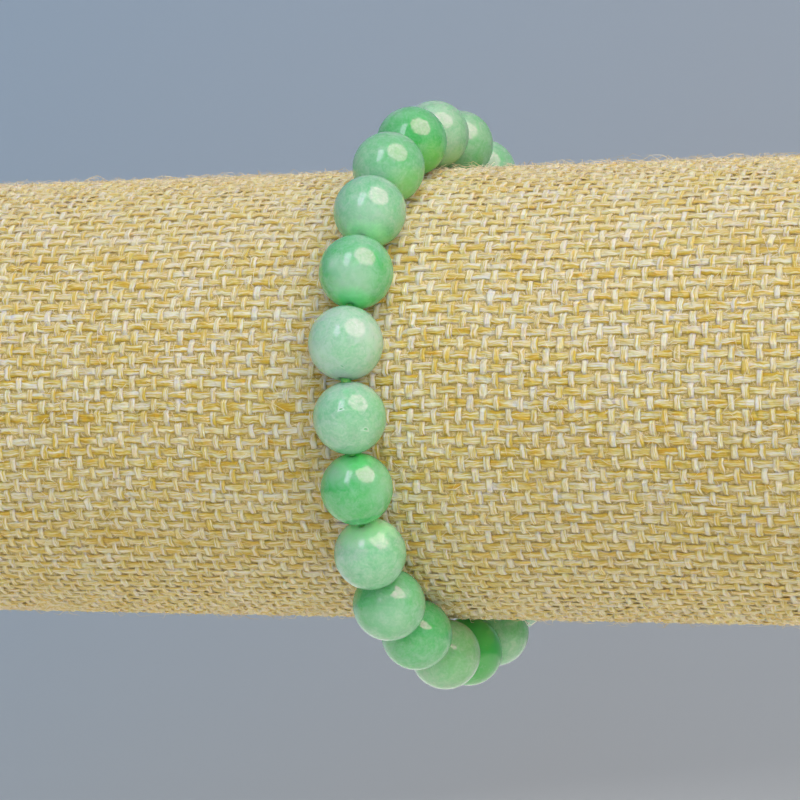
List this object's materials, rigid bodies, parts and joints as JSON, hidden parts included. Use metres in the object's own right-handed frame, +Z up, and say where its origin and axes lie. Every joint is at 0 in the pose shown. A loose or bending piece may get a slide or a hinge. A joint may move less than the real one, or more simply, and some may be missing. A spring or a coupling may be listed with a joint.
{
  "type": "beaded stretch bracelet on a display roll",
  "caption": "Stretch bracelet of round polished green stone beads on an elastic thread, hung on a round display roll wrapped in woven burlap.",
  "frame": {"origin": "on the axis of the display roll, at the middle of its length, where the plane of the bracelet crosses it", "axes": "+X along the roll, +Y away from the viewer, +Z up"},
  "size_m": [0.132, 0.0713, 0.068],
  "materials": {
    "stone_deep": "polished, translucent, deep green",
    "stone_mid": "polished, translucent, mid green with cloudy patches",
    "stone_pale": "polished, translucent, pale mint with cloudy patches",
    "elastic": "clear stretch thread",
    "core": "rigid foam",
    "burlap": "plain-woven burlap, straw coloured"
  },
  "bodies": {
    "root": {"bead_01": "stone_mid", "bead_02": "stone_pale", "bead_03": "stone_pale", "bead_04": "stone_deep", "bead_05": "stone_mid", "bead_06": "stone_pale", "bead_07": "stone_mid", "bead_08": "stone_pale", "bead_09": "stone_pale", "bead_10": "stone_deep", "bead_11": "stone_pale", "bead_12": "stone_mid", "bead_13": "stone_deep", "bead_14": "stone_pale", "bead_15": "stone_deep", "bead_16": "stone_mid", "bead_17": "stone_pale", "bead_18": "stone_mid", "bead_19": "stone_mid", "bead_20": "stone_deep", "bead_21": "stone_pale", "bead_22": "stone_mid", "bead_23": "stone_deep", "bead_24": "stone_pale", "thread": "elastic", "roll_core": "core", "burlap_cover": "burlap", "end_panel_left": "burlap", "end_panel_right": "burlap"}
  },
  "joints": []
}
